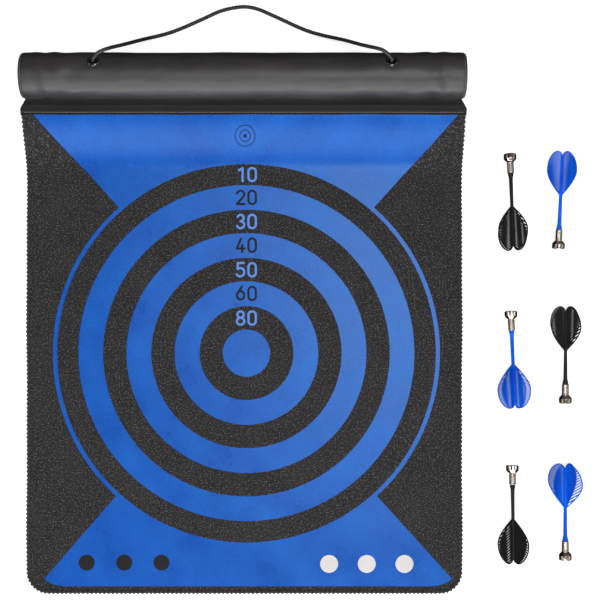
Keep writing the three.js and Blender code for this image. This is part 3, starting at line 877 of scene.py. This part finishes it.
def make_header():
    """The PU strip that grips the mat and runs back to the roll, as one soft skin."""
    along = np.array([206.45, 206.75, 207.05, 207.35, 207.6, 207.85, 208.1, 208.4, 208.8, 209.3,
                      210.3, 211.3, 212.3, 213.0])
    nose = [(206.32, 2.45), (206.2, 2.8), (206.28, 3.06)]
    xs = np.arange(-BAND_HALF, BAND_HALF + 0.01, BAND_HALF / 256)
    wave = 0.16 * np.sin(xs / 17 + 1) + 0.12 * np.sin(xs / 7.3) + 0.1 * np.sin(xs / 41)
    pulled = 0.5 + 0.5 * np.cos(TAU * xs / STITCH_PITCH)
    rows = []
    for y, above in nose:
        rows.append(lift(xs, y + wave * 0.9, above))
    for y in along:
        dip = 0.5 + 0.15 * pulled
        height = BAND_HIGH - dip * bell(y - STITCH_Y + 0.5, 0.5) + 0.35 * wave * (y > 209)
        height = height + 0.3 * bell(y - 209.3, 0.9) - 0.12 * max(0, y - 209.3)
        rows.append(lift(xs, y + 0.35 * wave * (y < 208), height))
    back = [(213.55, 19.8, 1.0), (214.1, 19.68, 1.0), (214.7, 19.52, 1.0), (215.3, 19.35, 1.0),
            (215.9, 19.2, 1.0), (216.5, 19.08, 0.9), (217.2, 19.0, 0.8), (218.0, 18.95, 0.6),
            (218.8, 18.9, 0.4), (219.6, 18.85, 0.2)]
    for y, z, share in back:
        rows.append(np.stack([xs, y + 0 * xs, z + wave * 0.6 * share], -1))
    for y, z in [(219.6, 17.0), (218.6, 17.12), (217.6, 17.18), (216.8, 17.2), (216.2, 17.2),
                 (215.6, 17.15), (215.0, 17.0), (214.4, 16.7), (213.8, 16.35), (213.3, 16.12)]:
        rows.append(np.stack([xs, y + 0 * xs, z - wave * 0.3], -1))
    for y, above in [(212.0, BAND_LOW), (210.0, BAND_LOW), (208.6, BAND_LOW),
                     (208.1, BAND_LOW + 0.12), (207.6, BAND_LOW), (206.5, BAND_LOW),
                     (206.2, -0.75), (206.2, -0.3), (206.35, -0.05), (209, -0.05),
                     (212.4, -0.05), (212.4, 2.35), (209, 2.35), (206.5, 2.36)]:
        rows.append(lift(xs, y, above))
    rows = np.array(rows)
    share = np.clip((rows[..., 1] - 211) / 8, 0, 1)
    narrow = BAND_HALF - (BAND_HALF - TAIL_HALF) * share
    rows[..., 0] *= narrow / BAND_HALF
    rows[..., 0] += MAT_MIDDLE_X
    rows = rows.transpose(1, 0, 2)
    n = rows.shape[1]
    faces = list(grid_faces(len(rows), n, wrap=True))
    build = Build().add(rows, [f[::-1] for f in faces])
    for end, side in ((0, 1), (len(rows) - 1, -1)):
        ring = rows[end]
        flat = [(p[1], p[2]) for p in ring]
        points, triangles = triangulate([(flat, True)])
        keep = inside(points[triangles].mean(1), np.array(flat))
        x = ring[:, 0]
        nearest = [int(np.argmin(np.abs(np.array(flat) - q).sum(1))) for q in points]
        spots = np.array([(x[i], q[0], q[1]) for q, i in zip(points, nearest)])
        build.add(spots, [t[::side] for t in triangles[keep]])
    # Its darker leather is painted shade.
    return build.object("header_strip", [shaded_strip_leather], sharp=50)


STITCH_RUN = np.linspace(-1, 1, 9)
STITCH_FALL = np.abs(STITCH_RUN) ** 3  # how far a stitch has gone down towards its ends


def make_header_stitches():
    build = Build()
    rng = np.random.default_rng(3)
    for k in range(int(2 * STITCH_HALF / STITCH_PITCH)):
        x = -STITCH_HALF + (k + 0.5) * STITCH_PITCH + rng.normal(0, 0.05)
        skew = rng.normal(0, 0.05)
        above = BAND_HIGH - 0.42 + 0.56 * (1 - STITCH_FALL)
        line = lift(MAT_MIDDLE_X + x + 1.28 * STITCH_RUN, STITCH_Y + skew * STITCH_RUN, above)
        sweep(build, line, (0, 0, 1.0), 0.3 * (1 - 0.35 * STITCH_FALL), 0.26, 8)
    return build.object("header_stitches", [glinting_seam_thread], sharp=60)


header = make_header()
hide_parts("header_band")
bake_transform(header)
place(make_header_stitches(), "root", "edge_thread", "header_stitching")


# ---- Roll ----
EYELET_HOLE = 3.9
COVER_SIDES = 160
END_SIDES = 120
END_RADIUS = 17.6
RIM_STITCHES = 41


def roll_wave(x, angle):
    """How far the cover stands off its nominal radius."""
    slow = (0.2 * np.sin(x / 29 + 1.3) * np.cos(angle - 0.4)
            + 0.13 * np.sin(x / 15.5 + 2 * angle) + 0.06 * np.sin(x / 8.2 - 3 * angle + 1)
            + 0.12 * np.sin(x / 53 - angle) + 0.05 * np.sin(x / 4.6 + 4 * angle))
    inset = ROLL_LENGTH / 2 - np.abs(x)
    folds = (0.5 * np.sin(x / 3.1 + 1.9 * angle) * bell(inset - 21, 11)
             + 0.3 * np.sin(x / 5.2 - 3.1 * angle + 0.6) * bell(inset - 38, 16))
    return slow * np.clip(inset / 25, 0.15, 1) + folds


def drawn_in(inset):
    """How much narrower the cover is so far in from its end."""
    return 1.2 * np.clip(1 - inset / 4, 0, 1) ** 2


def smoothstep(x, low, high):
    t = np.clip((x - low) / (high - low), 0, 1)
    return t * t * (3 - 2 * t)


def make_cover():
    half = ROLL_LENGTH / 2
    rim = [(6.0, 18.72), (2.0, 18.7), (0.7, 18.7), (0.25, 18.82), (0.03, 19.08), (0.03, 19.34),
           (0.22, 19.58), (0.55, 19.69), (0.85, 19.7)]
    groove = np.arange(1.0, 3.2, 0.18)
    middle = np.arange(-half + 3.4, half - 3.3, 1.35)
    x = np.concatenate([[i - half for i, _ in rim], groove - half, middle,
                        (half - groove)[::-1], [half - i for i, _ in rim[::-1]]])
    base = np.concatenate([[r for _, r in rim],
                           np.full(2 * len(groove) + len(middle), ROLL_RADIUS),
                           [r for _, r in rim[::-1]]])
    angle = -math.pi / 2 + TAU * np.arange(COVER_SIDES) / COVER_SIDES
    x, angle = x[:, None], angle[None]
    inset = half - np.abs(x)
    radius = base[:, None] + roll_wave(x, angle) - drawn_in(inset)
    stitched = 0.5 + 0.5 * np.cos(RIM_STITCHES * angle)
    radius = radius - (0.22 + 0.16 * stitched) * bell(inset - 1.85, 0.42) * (base[:, None] > 19.6)
    away = (angle + math.pi / 2 + math.pi) % TAU - math.pi
    lap = smoothstep(away, -0.42, -0.36) * (1 - smoothstep(away, -0.06, 0.0))
    radius = radius + 0.45 * lap * smoothstep(inset, 2.5, 6)
    radius = radius - 0.35 * bell(away, 0.05) * smoothstep(inset, 2.5, 6)
    for side in (-1, 1):
        gap = np.hypot(x - side * EYELET_X, ROLL_RADIUS * (angle - EYELET_TILT))
        radius = radius - 0.28 * bell(gap - 4.2, 2.6) + 0.1 * bell(gap - 9, 3)
    points = on_roll(x, angle, radius)
    points[..., 2] = np.maximum(points[..., 2], 0.03)
    faces = grid_faces(points.shape[0], COVER_SIDES, wrap=True)
    flat = points.reshape(-1, 3)
    centres = flat[faces].mean(1)
    keep = np.ones(len(faces), bool)
    for side in (-1, 1):
        d = centres - on_roll(side * EYELET_X, 0, 0)
        along = d @ OUTWARDS
        keep &= ~((along > 10) & (np.linalg.norm(d - along[:, None] * OUTWARDS, axis=1)
                                  < EYELET_HOLE))
    build = Build().add(flat, list(faces[keep][:, ::-1]))
    return build.object("roll_cover", [black_leather], sharp=60)


def make_roll_end(label, side):
    """A PU disc drawn in behind the rolled rim, with small puckers round its edge."""
    rings = [END_RADIUS, 17.4, 17.1, 16.7, 16.2, 15.5, 14, 11, 8, 5, 2.5, 0.01]
    turn = TAU * np.arange(END_SIDES) / END_SIDES
    rows = []
    for r in rings:
        puff = 0.5 * (1 - (r / END_RADIUS) ** 2) - 0.25 * bell(r - END_RADIUS + 1, 0.6)
        pleat = (0.1 * np.cos(30 * turn + 0.6 * np.sin(3 * turn))
                 * bell(r - END_RADIUS + 0.9, 0.9))
        x = side * (ROLL_LENGTH / 2 - 1.75 + puff + pleat)
        rows.append(on_roll(x, turn, r + 0 * turn))
    for r in (0.01, END_RADIUS):
        rows.append(on_roll(side * (ROLL_LENGTH / 2 - 2.6) + 0 * turn, turn, r))
    last = (len(rows) - 1) * END_SIDES
    k = np.arange(END_SIDES)
    after = (k + 1) % END_SIDES
    wall = np.stack([last + k, last + after, after, k], -1)
    faces = np.vstack([grid_faces(len(rows), END_SIDES, wrap=True), wall])
    build = Build().add(np.array(rows), list(faces if side > 0 else faces[:, ::-1]))
    place(build.object(f"roll_cap_{label}", [black_leather], sharp=50),
          "roll", "black_leather", f"roll_end_{label}")
    build = Build()
    rng = np.random.default_rng(11 if side > 0 else 12)
    step = TAU / RIM_STITCHES
    for i in range(RIM_STITCHES):
        centre = (i + 0.5) * step + rng.normal(0, 0.006)
        angle = centre + 0.42 * step * STITCH_RUN
        x = side * (ROLL_LENGTH / 2 - 1.85 + rng.normal(0, 0.04) * STITCH_RUN)
        wave = roll_wave(x, angle)
        radius = ROLL_RADIUS - 0.52 + 0.56 * (1 - STITCH_FALL) + wave - drawn_in(1.85)
        line = on_roll(x, angle, radius)
        line[:, 2] = np.maximum(line[:, 2], 0.3)
        ups = line - on_roll(x, 0, 0)
        sweep(build, line, ups, 0.29 * (1 - 0.3 * STITCH_FALL), 0.25, 8)
    place(build.object(f"rim_stitches_{label}", [glinting_seam_thread], sharp=60),
          "roll", "edge_thread", f"end_stitching_{label}")


def make_eyelet(label, side):
    """A rolled eyelet in dark metal, its flange bent to the roll."""
    top = [(2.6, 15.0), (2.6, 19.2), (2.66, 20.0), (2.85, 20.55), (3.25, 20.88), (3.8, 20.98),
           (4.35, 20.86), (4.8, 20.6), (5.12, 20.28), (5.2, 20.05), (5.05, 19.86), (4.6, 19.9),
           (3.7, 19.98), (3.15, 19.8), (3.1, 19.0), (3.1, 15.0), (2.95, 14.9), (2.75, 14.9),
           (2.6, 15.0)]

    def to_roll(q):
        across, around, out = q[..., 0], q[..., 2], -q[..., 1]
        sag = ROLL_RADIUS - np.sqrt(ROLL_RADIUS ** 2 - around ** 2)
        out = out - sag
        side_way = np.array([0, math.cos(EYELET_TILT), -math.sin(EYELET_TILT)])
        base = on_roll(side * EYELET_X, 0, 0)
        return (base + out[..., None] * OUTWARDS + around[..., None] * side_way
                + across[..., None] * np.array([1.0, 0, 0]))

    ring = turned(Build(), top, 72, bend=to_roll)
    place(ring.object(f"eyelet_ring_{label}", [gunmetal], sharp=60),
          "roll", "eyelet_metal", f"eyelet_{label}")
    repaint(f"eyelet_washer_{label}", gunmetal)


place(make_cover(), "roll", "black_leather", "roll_sleeve")
repaint("roll_core", core_board)
for label, side in (("left", -1), ("right", 1)):
    make_roll_end(label, side)
    make_eyelet(label, side)


# ---- Darts ----
VANE_HALF = 0.4
VANE_CHAMFER = 0.12
RIM_WIDTH = 0.95
SLOT_ANGLE = math.radians(56)
SLOT_HALF = 0.37
SLOT_PITCH = 2.35
SLOT_COUNT = 17
SLOT_FIRST = 44.1
SPINE_CLEAR = 1.95


def vane_outline():
    """Half outline of a vane, as (along, height)."""
    rise = bezier((45.7, 1), (50.5, 6), (60.5, 17.6), (68.1, 17.6), 22)
    fall = bezier((68.1, 17.6), (77.5, 17.6), (83.5, 11.5), (84.5, 6.2), 18)
    lobe = bezier((84.5, 6.2), (84.5, 3.2), (83, 1), (81.3, 0.6), 10)
    return np.vstack([[(45.7, 0)], rise, fall[1:], lobe[1:], [(81.3, 0)]])


def vane_plate(shift):
    """One slotted vane: flat points and triangles of what is left between the slots."""
    outline = vane_outline()
    curve = outline[1:-1]
    tangent = unit(np.gradient(curve, axis=0))
    inner = curve + np.stack([tangent[:, 1], -tangent[:, 0]], -1) * RIM_WIDTH
    inner = inner[inner[:, 1] > SPINE_CLEAR]
    zone = finely(np.vstack([inner, [(inner[-1][0] - 0.1, SPINE_CLEAR),
                                     (inner[0][0] + 0.1, SPINE_CLEAR)]]), 1.2)
    way = np.array([math.cos(SLOT_ANGLE), math.sin(SLOT_ANGLE)])
    across = np.array([way[1], -way[0]])
    starts = SLOT_FIRST + SLOT_PITCH * (np.arange(SLOT_COUNT) + shift)
    loops = [(finely(outline, 1.6), True), (zone, True)]
    for start in starts:
        for side in (-1, 1):
            at = np.array([start, 0]) + across * side * SLOT_HALF
            loops.append((np.array([at + way * t for t in np.arange(1.0, 26, 2.5)]), False))
    points, triangles = triangulate(loops)
    middle = points[triangles].mean(1)
    gap = np.min(np.abs((middle[:, 0][:, None] - starts) * across[0]
                        + middle[:, 1][:, None] * across[1]), axis=1)
    slot = inside(middle, zone) & (gap < SLOT_HALF)
    points, triangles, area = upright(points, triangles[inside(middle, outline) & ~slot])
    triangles = triangles[np.abs(area) > 1e-7]
    border = open_sides(triangles)
    push = np.zeros_like(points)
    for i, j in border:
        d = unit(points[j] - points[i])
        inwards = np.array([-d[1], d[0]])
        push[i] += inwards
        push[j] += inwards
    length = np.linalg.norm(push, axis=1, keepdims=True)
    push = np.where(length > 0.2, push / np.maximum(length, 1e-9), 0)
    return points, triangles, border, push


def make_flight(name, finish):
    build = Build()
    shaft = [(0.01, 10.8), (1.45, 10.8), (1.6, 11.0), (1.6, 17.1), (2.2, 17.1), (2.45, 17.35),
             (2.45, 18.0), (2.3, 18.8), (1.95, 20.2), (1.75, 21.1), (1.7, 24.0), (1.62, 30.0),
             (1.52, 38.0), (1.45, 44.5), (1.5, 45.7), (1.42, 46.8), (1.3, 60.0), (1.1, 79.0),
             (1.1, 80.7), (0.9, 81.15), (0.5, 81.3), (0.01, 81.3)]
    turned(build, rounded(shaft, 0.12, 2), 32)
    plates = [vane_plate(shift) for shift in (0, 0.5)]
    for k in range(4):
        points, triangles, border, push = plates[k // 2]
        n = len(points)
        inner = points + push * VANE_CHAMFER
        psi = TAU / 8 + k * TAU / 4
        out = np.array([math.cos(psi), 0, math.sin(psi)])
        face_way = np.array([-math.sin(psi), 0, math.cos(psi)])
        layers = []
        for flat, depth in ((inner, VANE_HALF), (points, VANE_HALF - VANE_CHAMFER),
                            (points, VANE_CHAMFER - VANE_HALF), (inner, -VANE_HALF)):
            layers.append(np.array([0, -1.0, 0]) * flat[:, :1] + out * flat[:, 1:]
                          + face_way * depth)
        faces = [t[::-1] for t in triangles] + [t + 3 * n for t in triangles]
        for i, j in border:
            for layer in range(3):
                low, high = layer * n, (layer + 1) * n
                faces.append(np.array([i + low, j + low, j + high, i + high]))
        build.add(np.vstack(layers), faces)
    return build.object(name, [finish], sharp=35)


def make_barrel(name):
    """Turned grip with fine ring grooves and softly broken ends."""
    profile = [(1.9, 6.95), (2.6, 6.95), (2.86, 7.1), (2.95, 7.35)]
    for i in range(11):
        at = 7.75 + 0.76 * i
        swing = 0.05 * math.sin(1.3 * i)
        profile += [(2.95 + swing, at), (2.9 + swing, at + 0.16), (2.76, at + 0.3),
                    (2.76, at + 0.38), (2.9, at + 0.5)]
    profile += [(2.93, 16.3), (2.84, 16.6), (2.62, 16.78), (1.9, 16.8), (1.9, 6.95)]
    return turned(Build(), profile, 72).object(name, [nickel], sharp=50)


def make_cup(name):
    profile = [(0.01, 3.4), (4.4, 3.4), (4.65, 3.2), (4.65, 0.3), (4.8, 0.06), (5.0, 0.0),
               (5.25, 0.1), (5.42, 0.35), (5.5, 0.7), (5.5, 4.25), (5.44, 4.42), (4.55, 5.38),
               (3.62, 6.42), (3.45, 6.56), (3.25, 6.6), (1.8, 6.6), (1.62, 6.7), (1.6, 10.2),
               (1.4, 10.4), (0.01, 10.4)]
    return turned(Build(), rounded(profile, 0.06, 2), 96).object(name, [nickel], sharp=45)


def make_magnet(name):
    profile = [(0.01, 0.06), (2.0, 0.055), (4.0, 0.05), (4.22, 0.1), (4.35, 0.3), (4.35, 2.85),
               (4.2, 3.08), (0.01, 3.1)]
    return turned(Build(), profile, 64).object(name, [magnet_nickel], sharp=50)


def resting_lean(roll):
    """Lean of a rolled dart that rests on its cup's rim and on its lowest vane."""
    outline = vane_outline()
    dip = math.pi / 4 + abs(roll)
    low = outline[:, 1] * math.sin(dip) + VANE_HALF * math.cos(dip)
    return math.atan(((low - CUP_RADIUS) / outline[:, 0]).max())


patterns = {
    "black": make_flight("pattern_black", black_plastic),
    "blue": make_flight("pattern_blue", blue_plastic),
    "barrel": make_barrel("pattern_barrel"),
    "cup": make_cup("pattern_cup"),
    "magnet": make_magnet("pattern_magnet"),
}
for label, (x, y, turn, roll, quarters) in DARTS.items():
    colour = label.split("_")[0]
    roll = math.radians(roll)
    lean = resting_lean(roll)
    at = Matrix.Translation(Vector((x, y, CUP_RADIUS * math.cos(lean))) * MM)
    pose = (at @ Matrix.Rotation(math.radians(turn), 4, "Z")
            @ Matrix.Rotation(-lean, 4, "X")
            @ Matrix.Rotation(roll + quarters * TAU / 4, 4, "Y"))
    for kind, pattern, node, slot in (
        ("flight", colour, "flight", f"{colour}_plastic"), ("grip", "barrel", "barrel", "nickel"),
        ("head", "cup", "cup", "nickel"), ("pull", "magnet", "magnet", "magnet_nickel"),
    ):
        piece = shown(f"{kind}_{label}", patterns[pattern].data.copy())
        piece.data.transform(pose)
        place(piece, f"dart_{label}", slot, f"dart_{label}_{node}")
for pattern in patterns.values():
    bpy.data.objects.remove(pattern)


# ---- Stage ----
TABLE_HALF, TABLE_Z = 3000, -0.4


def stage_table():
    p = Paint("table_paint", Roughness=0.9, Specular_IOR_Level=0.1, Emission_Strength=0.62)
    p.shader.inputs["Emission Color"].default_value = (1, 1, 1, 1)
    half, low = TABLE_HALF, TABLE_Z
    build = Build().add([(-half, -half, low), (half, -half, low), (half, half, low),
                         (-half, half, low)], [np.arange(4)])
    obj = build.object("table", [p.done(p.between(p.noise(3, 2), 0.7, 0.72))])
    obj.visible_glossy = obj.visible_diffuse = False


def lamp(name, at, towards, size, power, mirrored=True):
    light = bpy.data.lights.new(name, "AREA")
    light.shape = "RECTANGLE"
    light.size, light.size_y = size
    light.energy = power
    obj = shown(name, light)
    obj.location = at
    obj.rotation_euler = (Vector(towards) - Vector(at)).to_track_quat("-Z", "Y").to_euler()
    obj.visible_glossy = mirrored


stage_table()
lamp("overhead", (0.0, 0.0, 2.4), (0, 0, 0), (0.9, 0.9), 6, mirrored=False)
lamp("gloss", (0.4, 0.13, 2.4), (0.06, 0.06, 0), (1.2, 0.84), 19)
lamp("key", (0.0, -1.4, 1.45), (0, 0, 0), (2.2, 1.0), 21)
lamp("low_front", (0.0, -2.0, 0.42), (0, 0.24, 0.02), (2.4, 0.5), 32)
lamp("left", (-1.6, 0.2, 1.3), (0, 0, 0), (0.6, 1.4), 4)
lamp("right", (1.8, 0.2, 1.2), (0.2, 0, 0), (0.6, 1.4), 4)

# Brightness of the studio from left to right, from the front to the back, and from below up
ACROSS = [(0.0, 0.5), (0.1, 1.0), (0.18, 0.04), (0.3, 0.08), (0.38, 0.4), (0.43, 0.85),
          (0.48, 0.22), (0.6, 0.05), (0.68, 0.7), (0.76, 0.06), (0.9, 1.0), (1.0, 0.6)]
ALONG = [(0.0, 1.0), (0.35, 0.95), (0.55, 0.45), (0.7, 0.35), (1.0, 0.5)]
UPWARD = [(0.0, 0.12), (0.44, 0.08), (0.54, 1.0), (1.0, 1.0)]
world = bpy.data.worlds.new("studio")
bpy.context.scene.world = world
world.use_nodes = True
tree = world.node_tree
sky = tree.nodes.new("ShaderNodeTexCoord").outputs["Generated"]
direction = tree.nodes.new("ShaderNodeSeparateXYZ")
tree.links.new(sky, direction.inputs[0])


def levels(axis, stops):
    spread = tree.nodes.new("ShaderNodeMapRange")
    spread.inputs["From Min"].default_value = -1
    tree.links.new(direction.outputs[axis], spread.inputs["Value"])
    ramp = ramp_node(tree, [(at, (level, level * 0.97, level * 0.94)) for at, level in stops])
    tree.links.new(spread.outputs["Result"], ramp.inputs["Fac"])
    return ramp.outputs["Color"]


glow = levels("X", ACROSS)
for axis, stops in (("Y", ALONG), ("Z", UPWARD)):
    both = tree.nodes.new("ShaderNodeVectorMath")
    both.operation = "MULTIPLY"
    tree.links.new(glow, both.inputs[0])
    tree.links.new(levels(axis, stops), both.inputs[1])
    glow = both.outputs[0]
tree.links.new(glow, tree.nodes["Background"].inputs["Color"])
tree.nodes["Background"].inputs["Strength"].default_value = 1.0
bpy.context.scene.view_settings.view_transform = "Standard"
